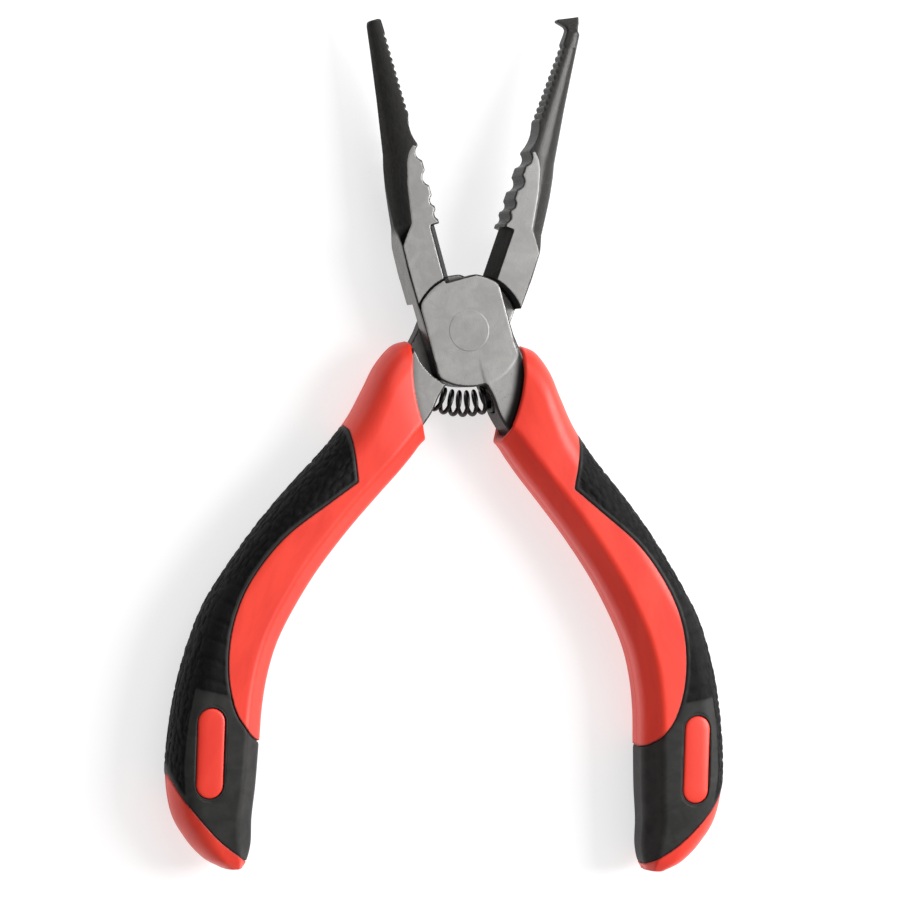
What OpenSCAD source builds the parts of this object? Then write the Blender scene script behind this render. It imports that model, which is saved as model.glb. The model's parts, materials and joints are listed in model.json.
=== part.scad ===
// Fishing pliers: two drop-forged halves crossing in a lap joint, a split-ring tooth on
// one nose, crimping notches, a side cutter, a coil return spring between the tangs and
// two-colour moulded grips.  Millimetres.  The tool lies on its back on z = 0 with the
// noses towards +Y and +Z up through its thickness, opened to its rest angle.
// Each half is drawn closed about the pivot and then turned outward by half_open.
// The front half carries the left nose and the right grip; the rear half is the same
// forging turned over, with the tooth added.

/* [Overall] */
// angle each half stands open at rest, degrees
half_open = 17.5; // [8:0.1:20]
// distance of the pivot above the bottom centre of the opened tool
pivot_y = 20.13; // [15:0.01:30]
// thickness of the forged head
head_t = 8; // [7:0.1:9]
// thickness of the moulded grips
grip_t = 13.5; // [12:0.1:15]

/* [Joint] */
// radius of the round joint plate
plate_r = 10.4; // [9:0.1:12]
// half width across the plate's flattened sides
plate_side = 7.9; // [7:0.1:10]
// how far the plate stands proud of the nose
plate_step = 0.25; // [0:0.05:0.5]
// sliding gap between the two lapped plates
lap_gap = 0.2; // [0.1:0.05:0.4]
// gap between a plate's rim and the other half's shoulder
shoulder_gap = 0.3; // [0.2:0.05:0.6]
// rivet shank radius
rivet_r = 2.8; // [2:0.1:3.5]
// rivet countersunk head radius
rivet_head_r = 3.8; // [3:0.1:4.5]
// radial running clearance of the rivet
rivet_fit = 0.04; // [0.02:0.01:0.09]

/* [Noses] */
// pivot to nose tip
nose_len = 59.4; // [50:0.1:65]
// gap left between the nose faces when closed
face_gap = 0.2; // [0.1:0.05:0.4]
// distance the half-round nose's axis lies behind its face
nose_axis = 1; // [0.5:0.1:1.5]
// spacing of the gripping teeth
grip_pitch = 1.25; // [0.8:0.05:2]
// depth of the gripping teeth
grip_depth = 0.4; // [0.2:0.05:0.6]
// reach of the split-ring tooth past its nose face
tooth_reach = 2.4; // [1.5:0.1:3]
// near end of the side cutter
cutter_from = 9.6; // [8:0.1:12]
// far end of the side cutter
cutter_to = 20.3; // [18:0.1:24]
// width of each cutter bevel on the flats
cutter_bevel = 1.8; // [1:0.1:2.5]

/* [Spring] */
// outside diameter of the coil
spring_d = 5; // [4:0.1:6]
// wire diameter
wire_d = 0.75; // [0.5:0.05:1]
// number of turns
spring_turns = 9.5; // [7:0.5:11]
// radius of the arc the coil's axis follows about the pivot
spring_arc_r = 13.4; // [13:0.1:15]
// depth of the blind seat in each tang
seat_depth = 3.2; // [2.8:0.1:4]
// room behind each end of the coil in its seat
seat_room = 0.75; // [0.6:0.05:1]

/* [Grips] */
// thickness of the soft skin over the hard core
skin_t = 1.6; // [1:0.1:2.5]
// width of the oval inlay
inlay_w = 5; // [3:0.1:7]
// length of the oval inlay
inlay_len = 16.3; // [10:0.1:20]
// depth of the oval inlay's pocket
inlay_depth = 1.2; // [0.8:0.1:2]

/* [Hidden] */
$fn = 96;

STEEL = [0.66, 0.66, 0.62];
BLACK_STEEL = [0.1, 0.1, 0.11];
RED = [0.88, 0.13, 0.1];
RUBBER = [0.09, 0.09, 0.1];

mid_z = grip_t / 2;
ht = head_t / 2;
big = 200;

// Smooth curve through control points, parts pieces per span.
function curve_at(p, i, t) =
    let (a = p[max(i - 1, 0)], b = p[i], c = p[i + 1], d = p[min(i + 2, len(p) - 1)])
    0.5 * (2 * b + (c - a) * t + (2 * a - 5 * b + 4 * c - d) * t * t
           + (3 * b - a - 3 * c + d) * t * t * t);
function curve(p, parts) = concat(
    [for (i = [0 : len(p) - 2]) for (k = [0 : parts - 1]) curve_at(p, i, k / parts)],
    [p[len(p) - 1]]);

// ---- forged halves, drawn closed: nose at x < 0, tang at x > 0 ----

nose_side = [[-7.9, 0], [-8.1, 7], [-8.2, 14.2], [-7.9, 21.6], [-7.3, 28.9], [-6.45, 34.5],
             [-5.5, 40], [-4.6, 45.5], [-3.55, 52.5], [-2.7, nose_len]];
tang_outer = [[7.9, 2], [8.1, -3], [8.9, -8], [9.8, -14], [11.6, -22], [14.2, -30],
              [17.6, -38.5], [20.6, -47], [22.8, -55.5], [23.8, -63], [23.6, -72]];
tang_inner = [[19.6, -72], [18.6, -63], [17.4, -56], [15, -48.5], [11.8, -41], [8.6, -33.5],
              [5.2, -26.5], [2.7, -20.5], [1.5, -16.5], [1.2, -13.2], [0.4, -10]];
// crimping notches along the nose face: [distance from the pivot, radius, centre out from the face]
notches = [[33.6, 1.5, 0.55], [28.9, 1.5, 0.55], [24.6, 1.1, 0.4], [22, 1, 0.4]];
// pull notch: [distance from the pivot, length, depth]
oval_notch = [38.2, 6, 0.7];
// the turned faces' axes lie this far behind the tip's middle, and lean by this angle
turn_offset = 0.2;
turn_lean = 3.83;
tang_t = 6.4;
mouth_c = [-18.75, -0.9];
mouth_r = 28.1;
// the tang's inner face meets the coil's arc at face_a, and the seat's axis touches the arc at seat_a
face_a = atan2(-13.35, 1.2);
seat_turn = 6;
seat_a = face_a + seat_turn;
seat_c = [spring_arc_r * cos(seat_a), spring_arc_r * sin(seat_a)];
function arc_length(a) = a * PI / 180 * spring_arc_r;

module nose_2d(tip) {
    intersection() {
        polygon(concat(curve(nose_side, 3), [[-face_gap / 2, nose_len], [-face_gap / 2, 0]]));
        if (!tip) polygon([[-20, -1], [1, -1], [1, nose_len - 0.7], [-0.7, nose_len - 0.15],
                           [-2.2, nose_len - 0.15], [-3, nose_len - 0.9], [-20, nose_len - 0.9]]);
    }
}

module tooth_2d() {
    top = nose_len + 2.9;
    polygon([[-2.45, nose_len - 3], [-1.7, top - 1.2], [-1.25, top], [0.2, nose_len + 2.1],
             [tooth_reach, nose_len + 0.95], [tooth_reach + 0.1, nose_len + 0.65],
             [tooth_reach - 0.2, nose_len + 0.4], [0.6, nose_len + 0.15],
             [0, nose_len - 0.3], [-face_gap / 2, nose_len - 1.2], [-face_gap / 2, nose_len - 3]]);
}

module plate_2d(r) {
    intersection() {
        circle(r);
        square([2 * plate_side, 3 * r], center = true);
    }
}

module tang_2d(grow) {
    polygon(concat([for (p = curve(tang_outer, 2)) p + [grow, 0]],
                   [for (p = curve(tang_inner, 2)) p - [grow, 0]],
                   [[0.4, 0]]));
}

module slab(from, to) {
    translate([0, 0, from]) linear_extrude(to - from) children();
}

// One turned face of the nose: 1 the upper, -1 the lower.
module turned_face(s) {
    translate([-nose_axis, nose_len, -s * turn_offset]) rotate([s * turn_lean, 0, 0])
        translate([0, -nose_len, 0]) rotate([-90, 0, 0]) rotate([0, 0, 90]) rotate_extrude()
            polygon(concat([[0, -3]], curve([[18.5, -3], [17, 0], [13.5, 8], [11.7, 14.2], [7.68, 21.6],
                     [6.59, 28.9], [5.51, 35], [4.62, 40], [3.78, 45], [2.67, 52.7], [1.7, nose_len]], 2),
                     [[1.3, nose_len + 4], [0, nose_len + 4]]));
}

// The flattened half-round taper of the nose: thickness profile and two turned faces.
module nose_envelope() {
    intersection() {
        rotate([0, 90, 0]) linear_extrude(40, center = true)
            polygon([[-ht, -1], [-ht, 22], [-3.85, 30], [-3.55, 36], [-3.05, 42], [-2.6, 50],
                     [-2, big], [2, big], [2.6, 50], [3.05, 42], [3.55, 36], [3.85, 30], [ht, 22],
                     [ht, -1]]);
        turned_face(1);
        turned_face(-1);
    }
}

module cutter_bevels() {
    for (s = [-1, 1]) translate([-face_gap / 2, cutter_to, 0]) rotate([90, 0, 0])
        linear_extrude(cutter_to - cutter_from)
            polygon([[0.4, 0], [0, 0], [-cutter_bevel, s * (ht + 0.1)], [-cutter_bevel, s * (ht + 1)],
                     [0.4, s * (ht + 1)]]);
}

module face_cuts() {
    for (n = notches) translate([n[2], n[0], -ht - 1]) cylinder(r = n[1], h = head_t + 2);
    bow = (pow(oval_notch[1] / 2, 2) + pow(oval_notch[2], 2)) / (2 * oval_notch[2]);
    translate([bow - oval_notch[2], oval_notch[0], -ht - 1]) cylinder(r = bow, h = head_t + 2);
    for (y = [42 : grip_pitch : nose_len - 2.6]) translate([-face_gap / 2, y, 0])
        rotate([0, 0, 45]) cube([grip_depth * sqrt(2), grip_depth * sqrt(2), head_t + 2], center = true);
}

module half_forging(tooth) {
    difference() {
        union() {
            // nose, full thickness, with the tooth or a plain tip
            intersection() {
                union() {
                    slab(-ht, ht) nose_2d(tooth);
                    if (tooth) slab(-ht, ht) tooth_2d();
                }
                union() {
                    nose_envelope();
                    if (tooth) tooth_envelope();
                }
            }
            // visible tang at full thickness, hidden tang thinner
            intersection() {
                slab(-ht, ht) tang_2d(0);
                translate([mouth_c[0], mouth_c[1], -ht]) cylinder(r = mouth_r + 1.2, h = head_t);
            }
            slab(-tang_t / 2, tang_t / 2) tang_2d(0);
            slab(-ht, ht + plate_step) plate_2d(plate_r);
        }
        // the other half's plate turns in this recess
        slab(-ht - 1, lap_gap / 2) circle(plate_r + shoulder_gap);
        translate([0, 0, -ht]) cylinder(r = rivet_r + rivet_fit, h = head_t + 1);
        rivet_head(rivet_fit);
        cutter_bevels();
        face_cuts();
        translate([seat_c[0], seat_c[1], 0]) rotate([0, 0, seat_a + 90]) rotate([0, 90, 0])
            translate([0, 0, -4]) cylinder(d = spring_d + 0.6, h = 4 + seat_depth - arc_length(seat_turn));
    }
}

module tooth_envelope() {
    // the tooth narrows to a chisel point
    translate([0, nose_len - 3, 0]) rotate([0, 90, 0])
        linear_extrude(12, center = true)
            polygon([[-1.5, 0], [-1.2, 3], [-0.8, 7], [0.8, 7], [1.2, 3], [1.5, 0]]);
}

module rivet_head(clear) {
    depth = rivet_head_r - rivet_r;
    translate([0, 0, ht + plate_step - depth])
        cylinder(r1 = rivet_r + clear, r2 = rivet_head_r + clear, h = depth + 0.001);
}

module in_place(side) {
    // side 1: front half, side -1: rear half, which is the front forging turned over
    translate([0, pivot_y, mid_z]) rotate([0, 0, side * half_open])
        rotate([0, side > 0 ? 0 : 180, 0]) children();
}

module front_half() color(STEEL) in_place(1) half_forging(false);

module rear_half() color(STEEL) in_place(-1) half_forging(true);

module pivot_rivet() color(STEEL) translate([0, pivot_y, mid_z]) {
    cylinder(r = rivet_r, h = head_t + 2 * plate_step, center = true);
    for (s = [0, 180]) rotate([s, 0, 0]) rivet_head(0);
}

// ---- return spring ----

module return_spring() {
    seated = (seat_depth - seat_room) / arc_length(1);
    reach = 90 + face_a + half_open + seated;
    steps = 18;
    sides = 8;
    n = round(spring_turns * steps);
    rc = (spring_d - wire_d) / 2;
    // a ring of points around the wire at step i of the helix
    ring = [for (i = [0 : n]) for (k = [0 : sides - 1])
        let (turn = i * 360 / steps, arc = -90 - reach + 2 * reach * i / n, w = k * 360 / sides,
             rad = rc + wire_d / 2 * cos(w), d = spring_arc_r + rad * cos(turn),
             slide = wire_d / 2 * sin(w) / spring_arc_r * 180 / PI)
        [d * cos(arc + slide), d * sin(arc + slide), rad * sin(turn)]];
    skins = [for (i = [0 : n - 1]) for (k = [0 : sides - 1])
        let (m = (k + 1) % sides)
        [i * sides + k, i * sides + m, (i + 1) * sides + m, (i + 1) * sides + k]];
    tail = [for (k = [0 : sides - 1]) sides - 1 - k];
    head = [for (k = [0 : sides - 1]) n * sides + k];
    color(BLACK_STEEL) translate([0, pivot_y, mid_z])
        polyhedron(ring, concat(skins, [tail, head]));
}

// ---- grips, drawn closed on the x > 0 tang ----

// sections across the grip: [outer x, outer y, inner x, inner y, half thickness]
gt = grip_t / 2;
stations = [[9.8, -5.6, -2.2, -18.6, 5.2], [12, -7.4, -0.2, -20.3, 5.7], [13.6, -11.5, 1.2, -22.5, 6.2],
            [14.3, -16.5, 2.1, -25.1, 6.5], [15.3, -22.5, 3.6, -29, gt], [17.5, -29, 6, -34.6, gt],
            [21.2, -37.4, 9, -42, gt], [24.6, -46, 11.9, -50.6, gt], [27.2, -54.5, 13.7, -58.4, gt],
            [29.1, -62.5, 14.6, -65, gt], [29.6, -70.5, 14.4, -71, gt], [29, -78.8, 13.4, -77, gt],
            [27.7, -86.6, 11.7, -83.4, gt], [25.7, -94, 9.8, -90.6, gt], [22.4, -100.4, 8.4, -96.6, 6.3],
            [18.2, -104.2, 7, -100.9, 5.7], [14, -106.4, 6.6, -103.9, 4.9],
            [10.4, -107, 6.9, -105.7, 3.8]];

// [distance in from the inner edge, distance in from the outer edge, depth below the top]
profile = [[0, 0, 4.2], [0.5, 0, 3.2], [2.8, 0, 0.6], [3.6, 0, 0.15], [4.6, 0, 0],
           [0, 5.4, 0], [0, 3.6, 0.35], [0, 2.1, 1.2], [0, 0.9, 2.7], [0, 0.2, 4.6]];

function section(s, inset) =
    let (o = [s[0], s[1]], i = [s[2], s[3]], w = norm(o - i), u = (o - i) / w,
         k = min(1, w / 12.5), t = min(s[4], gt) - inset, q = s[4] / gt,
         half = [for (p = profile)
             let (d = p[1] > 0 ? w - inset - p[1] * k : inset + p[0] * k)
             [i + u * d, max(0.4, t - p[2] * q)]],
         tip = i + u * (w - inset))
    concat([for (h = half) [h[0][0], h[0][1], h[1]]], [[tip[0], tip[1], 0]],
           [for (j = [len(half) - 1 : -1 : 0]) [half[j][0][0], half[j][0][1], -half[j][1]]]);

module grip_body(inset, parts) {
    ends = inset > 0 ? parts : 0;
    rows = curve(stations, parts);
    m = 2 * len(profile) + 1;
    for (i = [ends : len(rows) - 2 - ends])
        hull() polyhedron(concat(section(rows[i], inset), section(rows[i + 1], inset)),
                          [[for (k = [0 : m - 1]) k], [for (k = [0 : m - 1]) 2 * m - 1 - k]]);
}

// line between the hard core's panel (inner side) and the soft skin (outer side)
panel_edge = concat([[17.5, -21.8], [15.4, -24.2]], [[11, -33.2]],
    curve([[11, -33.2], [14.8, -38.6], [20, -46.2], [22.9, -53.2], [24.3, -60], [24, -66.9],
           [22, -73.8], [18.8, -79.2], [15.5, -81.9], [12, -83.2], [4, -83.8]], 4));
// line between the skin and the end cap
cap_edge = curve([[31, -89], [27.2, -92.4], [24.2, -95.6], [21.2, -98.1], [17.6, -100.3],
                  [14.2, -102.1], [10.6, -103.5], [4, -105.2]], 3);

module skin_zone() {
    polygon(concat(panel_edge, [[4, -100]], [for (i = [len(cap_edge) - 1 : -1 : 0]) cap_edge[i]],
                   [[60, -89], [60, -21.8]]));
}

module cap_zone() {
    polygon(concat(cap_edge, [[4, -130], [60, -130], [60, -89]]));
}

inlay_c = [20.4, -88.1];

module inlay_2d(grow) {
    translate(inlay_c) rotate([0, 0, -half_open]) {
        square([inlay_w + 2 * grow, inlay_len - inlay_w], center = true);
        for (s = [-1, 1]) translate([0, s * (inlay_len - inlay_w) / 2])
            circle(d = inlay_w + 2 * grow);
    }
}

module inlay() {
    slab(gt - inlay_depth, gt - 0.1) inlay_2d(-0.25);
}

module tang_pocket() {
    intersection() {
        slab(-ht - 0.1, ht + 0.1) tang_2d(0.1);
        translate([mouth_c[0], mouth_c[1], -ht - 0.1]) cylinder(r = mouth_r + 1.4, h = head_t + 0.2);
    }
    slab(-tang_t / 2 - 0.05, tang_t / 2 + 0.05) tang_2d(0.1);
}

module mouth() {
    translate([mouth_c[0], mouth_c[1], -20]) cylinder(r = mouth_r, h = 40);
}

module grip_core() {
    difference() {
        union() {
            difference() {
                grip_body(0, 2);
                slab(-20, 20) skin_zone();
                slab(-20, 20) cap_zone();
            }
            intersection() {
                grip_body(skin_t, 2);
                slab(-20, 20) square([120, 190], center = true);
            }
        }
        mouth();
        tang_pocket();
    }
}

module grip_overmould() {
    difference() {
        intersection() {
            grip_body(0, 2);
            slab(-20, 20) skin_zone();
        }
        grip_body(skin_t, 2);
        for (s = [-1, 1]) scale([1, 1, s]) slab(gt - inlay_depth, gt + 1) inlay_2d(0);
    }
}

module grip_cap() {
    difference() {
        intersection() {
            grip_body(0, 2);
            slab(-20, 20) cap_zone();
        }
        grip_body(skin_t, 2);
    }
}

module right_core() color(RED) in_place(1) grip_core();
module right_overmould() color(RUBBER) in_place(1) grip_overmould();
module right_end_cap() color(RED) in_place(1) grip_cap();
module right_inlay_front() color(RED) in_place(1) inlay();
module right_inlay_back() color(RED) in_place(1) mirror([0, 0, 1]) inlay();
module left_core() color(RED) in_place(-1) grip_core();
module left_overmould() color(RUBBER) in_place(-1) grip_overmould();
module left_end_cap() color(RED) in_place(-1) grip_cap();
module left_inlay_front() color(RED) in_place(-1) mirror([0, 0, 1]) inlay();
module left_inlay_back() color(RED) in_place(-1) inlay();

front_half();
rear_half();
pivot_rivet();
return_spring();
right_core();
right_overmould();
right_end_cap();
right_inlay_front();
right_inlay_back();
left_core();
left_overmould();
left_end_cap();
left_inlay_front();
left_inlay_back();
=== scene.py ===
"""Fishing pliers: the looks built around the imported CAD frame.

Lengths are millimetres until a mesh is made. The two halves are drawn closed, with the pivot at the
origin and the nose along +Y, and in_place() opens them to the rest pose, as in the CAD model.
"""

import itertools
import json
import math

import bpy
import numpy as np
from mathutils import Matrix, Vector
from mathutils.bvhtree import BVHTree


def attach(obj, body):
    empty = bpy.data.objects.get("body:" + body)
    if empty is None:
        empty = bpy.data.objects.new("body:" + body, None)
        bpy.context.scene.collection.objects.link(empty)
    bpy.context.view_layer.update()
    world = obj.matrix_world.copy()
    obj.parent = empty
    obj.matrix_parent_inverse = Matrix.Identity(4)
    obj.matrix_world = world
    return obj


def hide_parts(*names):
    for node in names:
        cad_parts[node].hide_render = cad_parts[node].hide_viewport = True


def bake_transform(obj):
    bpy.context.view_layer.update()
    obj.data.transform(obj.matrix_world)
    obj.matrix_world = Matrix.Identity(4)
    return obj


MM = 0.001
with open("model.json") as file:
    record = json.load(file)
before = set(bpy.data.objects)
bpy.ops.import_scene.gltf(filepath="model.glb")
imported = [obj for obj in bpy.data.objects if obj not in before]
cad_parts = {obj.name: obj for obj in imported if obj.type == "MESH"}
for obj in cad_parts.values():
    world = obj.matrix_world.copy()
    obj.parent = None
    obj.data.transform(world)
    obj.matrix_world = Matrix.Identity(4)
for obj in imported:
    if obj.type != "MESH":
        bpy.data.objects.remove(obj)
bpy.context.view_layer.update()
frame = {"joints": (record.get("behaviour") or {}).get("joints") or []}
PIVOT = np.array(frame["joints"][0]["pos_m"]) / MM

# ---- driving dimensions ----

HALF_OPEN = math.radians(17.5)
HALF_HEAD = 4.0
PLATE_STEP = 0.25
PLATE_R = 10.4
PLATE_SIDE = 7.9
SHOULDER_GAP = 0.3
LAP_GAP = 0.2
FACE_GAP = 0.2
RIVET_R = 2.8
RIVET_HEAD_R = 3.8
NOSE_LEN = 59.4
TOOTH_REACH = 2.4
MOUTH_C = np.array([-18.75, -0.9])
MOUTH_R = 28.1
SPRING_D = 5.0
WIRE_D = 0.75
SPRING_TURNS = 9.5
SPRING_ARC_R = 13.4
HALF_GRIP = PIVOT[2]


# ---- plain maths ----

def catmull(points, parts):
    """Catmull-Rom curve through the rows of points, with that many steps a span."""
    p = np.array(points, float)
    p = np.vstack([p[:1], p, p[-1:]])
    t = (np.arange(parts) / parts)[:, None]
    spans = [0.5 * (2 * b + (c - a) * t + (2 * a - 5 * b + 4 * c - d) * t**2
                    + (3 * b - a - 3 * c + d) * t**3)
             for a, b, c, d in zip(p, p[1:], p[2:], p[3:])]
    return np.vstack(spans + [p[-1:]])


def smooth_step(x, low, high):
    t = np.clip((x - low) / (high - low), 0, 1)
    return t * t * (3 - 2 * t)


def round_max(a, b, radius):
    """Where two solids meet, the larger field, with the edge rounded off."""
    h = np.maximum(radius - np.abs(a - b), 0)
    return np.maximum(a, b) + h * h / (4 * radius)


def round_min(a, b, radius):
    return -round_max(-a, -b, radius)


def outline_distance(points, x, y):
    """Distance to a closed outline, negative inside it."""
    nearest = np.full(np.broadcast(x, y).shape, 1e9)
    inside = np.zeros(nearest.shape, bool)
    for (x0, y0), (x1, y1) in zip(points, np.roll(points, -1, 0)):
        ex, ey = x1 - x0, y1 - y0
        wx, wy = x - x0, y - y0
        t = np.clip((wx * ex + wy * ey) / max(ex * ex + ey * ey, 1e-12), 0, 1)
        nearest = np.minimum(nearest, (wx - ex * t) ** 2 + (wy - ey * t) ** 2)
        if y0 != y1:
            inside ^= ((y0 <= y) != (y1 <= y)) & (x < x0 + wy / (y1 - y0) * ex)
    return np.where(inside, -1, 1) * np.sqrt(nearest)


def in_place(points, side):
    """Closed drawing to the rest pose, in metres. side 1 is the front half, -1 the rear half turned over."""
    p = np.asarray(points, float) * [side, 1, side]
    c, s = math.cos(side * HALF_OPEN), math.sin(side * HALF_OPEN)
    turned = np.stack([p[:, 0] * c - p[:, 1] * s, p[:, 0] * s + p[:, 1] * c, p[:, 2]], 1)
    return (turned + PIVOT) * MM


def surface_nets(field, low, step):
    """Quads on the zero level of a field sampled on a grid, with their points."""
    inside = field < 0
    shape = np.array(field.shape)
    count = np.zeros(shape - 1, np.int8)
    for i, j, k in itertools.product((0, 1), repeat=3):
        count += inside[i:shape[0] - 1 + i, j:shape[1] - 1 + j, k:shape[2] - 1 + k]
    crossed = (count > 0) & (count < 8)
    cells = np.argwhere(crossed)
    number = np.zeros(crossed.shape, np.int32)
    number[crossed] = np.arange(len(cells))
    total, hits = np.zeros((len(cells), 3)), np.zeros(len(cells))
    unit = np.eye(3, dtype=int)
    quads = []
    for axis in range(3):
        u, v = unit[(axis + 1) % 3], unit[(axis + 2) % 3]
        for a, b in itertools.product((0, 1), repeat=2):
            corner = a * u + b * v
            f0 = field[tuple((cells + corner).T)]
            f1 = field[tuple((cells + corner + unit[axis]).T)]
            cross = (f0 < 0) != (f1 < 0)
            t = f0 / np.where(cross, f0 - f1, 1)
            total += cross[:, None] * (corner + t[:, None] * unit[axis])
            hits += cross
        start = [slice(1, -1)] * 3
        start[axis] = slice(0, -1)
        end = list(start)
        end[axis] = slice(1, None)
        first, second = inside[tuple(start)], inside[tuple(end)]
        edge = np.argwhere(first != second) + [0 if i == axis else 1 for i in range(3)]
        around = np.stack([number[tuple((edge - o).T)] for o in (u + v, v, 0 * u, u)], 1)
        leaving = inside[tuple(edge.T)]
        quads.append(np.where(leaving[:, None], around, around[:, ::-1]))
    return (cells + total / hits[:, None]) * step + low, np.vstack(quads)


# ---- meshes ----

def make_mesh(name, points, faces, material, smooth=True):
    mesh = bpy.data.meshes.new(name)
    mesh.from_pydata(np.asarray(points).tolist(), [], [list(f) for f in faces])
    mesh.validate()
    mesh.update()
    mesh.polygons.foreach_set("use_smooth", [smooth] * len(mesh.polygons))
    ob = bpy.data.objects.new(name, mesh)
    bpy.context.scene.collection.objects.link(ob)
    mesh.materials.append(material)
    return ob


def store(ob, name, values):
    """A number or a vector for every point, for the materials."""
    values = np.asarray(values, np.float32)
    kind = "FLOAT" if values.ndim == 1 else "FLOAT_VECTOR"
    layer = ob.data.attributes.new(name, kind, "POINT")
    layer.data.foreach_set("value" if values.ndim == 1 else "vector", values.ravel())


def grid_faces(rows, columns, first=0):
    i, j = np.meshgrid(np.arange(rows - 1), np.arange(columns - 1), indexing="ij")
    a = first + (i * columns + j).ravel()
    return np.stack([a, a + 1, a + columns + 1, a + columns], 1)


def point_normals(points, quads):
    across = np.cross(points[quads[:, 2]] - points[quads[:, 0]], points[quads[:, 3]] - points[quads[:, 1]])
    normals = np.zeros_like(points)
    for c in range(4):
        np.add.at(normals, quads[:, c], across)
    return normals / np.maximum(np.linalg.norm(normals, axis=1, keepdims=True), 1e-9)


def edge_sharpness(points, quads, normals, rounds=2):
    """How convex the surface is at each point, about 0 on a flat and more on an edge."""
    bend, hits = np.zeros(len(points)), np.zeros(len(points))
    for c in range(4):
        a, b = quads[:, c], quads[:, (c + 1) % 4]
        step = points[b] - points[a]
        length = np.maximum(np.linalg.norm(step, axis=1), 1e-6)
        np.add.at(bend, a, -np.einsum("ij,ij->i", normals[a], step) / length)
        np.add.at(bend, b, np.einsum("ij,ij->i", normals[b], step) / length)
        np.add.at(hits, a, 1)
        np.add.at(hits, b, 1)
    bend /= np.maximum(hits, 1)
    for _ in range(rounds):
        spread, hits = np.zeros(len(points)), np.zeros(len(points))
        for c in range(4):
            a, b = quads[:, c], quads[:, (c + 1) % 4]
            np.add.at(spread, a, bend[b])
            np.add.at(spread, b, bend[a])
            np.add.at(hits, a, 1)
            np.add.at(hits, b, 1)
        bend = 0.5 * bend + 0.5 * spread / np.maximum(hits, 1)
    return bend


# ---- forged halves ----

# outlines run in (out, along) points, and profiles along the nose in (along, value) rows
NOSE_SIDE = [[-7.9, 0], [-8.1, 7], [-8.2, 14.2], [-7.9, 21.6], [-7.3, 28.9], [-6.45, 34.5],
             [-5.5, 40], [-4.6, 45.5], [-3.55, 52.5], [-2.7, NOSE_LEN]]
TANG_OUTER = [[7.9, 2], [8.1, -3], [8.9, -8], [9.8, -14], [11.6, -22], [14.2, -30],
              [17.6, -38.5], [20.6, -47], [22.8, -55.5], [23.8, -63], [23.6, -72]]
TANG_INNER = [[19.6, -72], [18.6, -63], [17.4, -56], [15, -48.5], [11.8, -41], [8.6, -33.5],
              [5.2, -26.5], [2.7, -20.5], [1.5, -16.5], [1.2, -13.2], [0.4, -10]]
THICKNESS = [[-80, 4], [22, 4], [30, 3.85], [36, 3.55], [42, 3.05], [50, 2.6], [70, 2]]
# the nose's upper face is turned about an axis below it, which leans in towards the tip
TURN_RADIUS = [[-80, 40], [-3, 18.5], [0, 17], [8, 13.5], [14.2, 11.9], [21.6, 8], [28.9, 6.85],
               [32.5, 6.1], [35, 5.45], [40, 4.62], [45, 3.78], [52.7, 2.67], [NOSE_LEN, 1.7],
               [NOSE_LEN + 4, 1.3]]
TURN_OFFSET = 0.2
TURN_LEAN = math.tan(math.radians(3.83))
NOSE_AXIS = -1.0
# (along, radius, centre out), (along, length, depth), (first, pitch, depth) and (from, to, width)
NOTCHES = [[33.6, 1.5, 0.55], [28.9, 1.5, 0.55], [24.6, 1.1, 0.4], [22, 1, 0.4]]
OVAL_NOTCH = [38.2, 6, 0.7]
GRIP_TEETH = [42.0, 1.25, 0.4]
CUTTER = [9.6, 20.3, 1.8]
FACE_A = math.atan2(-13.35, 1.2)
SEAT_A = FACE_A + math.radians(6)
SEAT_DEPTH = 3.2
SEAT_ROOM = 0.75
TANG_HALF = 3.2
TANG_END = -73.5
# the tang below this is inside the grip and has a coarser grid
HIDDEN_BELOW = -36
FINE_STEP = 0.2
COARSE_STEP = 0.5


def rows_at(table, y):
    t = np.array(table, float)
    return np.interp(y, t[:, 0], t[:, 1])


def turn_axis(y):
    """How far the turned face's axis lies below the nose's middle."""
    return TURN_OFFSET + TURN_LEAN * (NOSE_LEN - y)


def nose_field(x, y, z, tooth):
    side = catmull(NOSE_SIDE, 4)
    outline = outline_distance(np.vstack([side, [[-FACE_GAP / 2, NOSE_LEN], [-FACE_GAP / 2, 0]]]), x, y)
    if not tooth:
        tip = [[-20, -1], [1, -1], [1, NOSE_LEN - 0.7], [-0.7, NOSE_LEN - 0.15], [-2.2, NOSE_LEN - 0.15],
               [-3, NOSE_LEN - 0.9], [-20, NOSE_LEN - 0.9]]
        outline = round_max(outline, outline_distance(np.array(tip), x, y), 0.5)
    turned = np.sqrt((x - NOSE_AXIS) ** 2 + (np.abs(z) + turn_axis(y)) ** 2) - rows_at(TURN_RADIUS, y)
    field = round_max(outline, np.abs(z) - rows_at(THICKNESS, y), 0.25)
    field = round_max(field, turned, 0.12)
    if tooth:
        top = NOSE_LEN + 2.9
        hook = [[-2.45, NOSE_LEN - 3], [-1.7, top - 1.2], [-1.25, top], [0.2, NOSE_LEN + 2.1],
                [TOOTH_REACH, NOSE_LEN + 0.95], [TOOTH_REACH + 0.1, NOSE_LEN + 0.65],
                [TOOTH_REACH - 0.2, NOSE_LEN + 0.4], [0.6, NOSE_LEN + 0.15], [0, NOSE_LEN - 0.3],
                [-FACE_GAP / 2, NOSE_LEN - 1.2], [-FACE_GAP / 2, NOSE_LEN - 3]]
        chisel = [[-80, 1.5], [NOSE_LEN - 3, 1.5], [NOSE_LEN, 1.2], [NOSE_LEN + 4, 0.8]]
        shape = round_max(outline_distance(np.array(hook), x, y), np.abs(z) - rows_at(chisel, y), 0.35)
        field = round_min(field, shape, 0.5)
    return field


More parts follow.
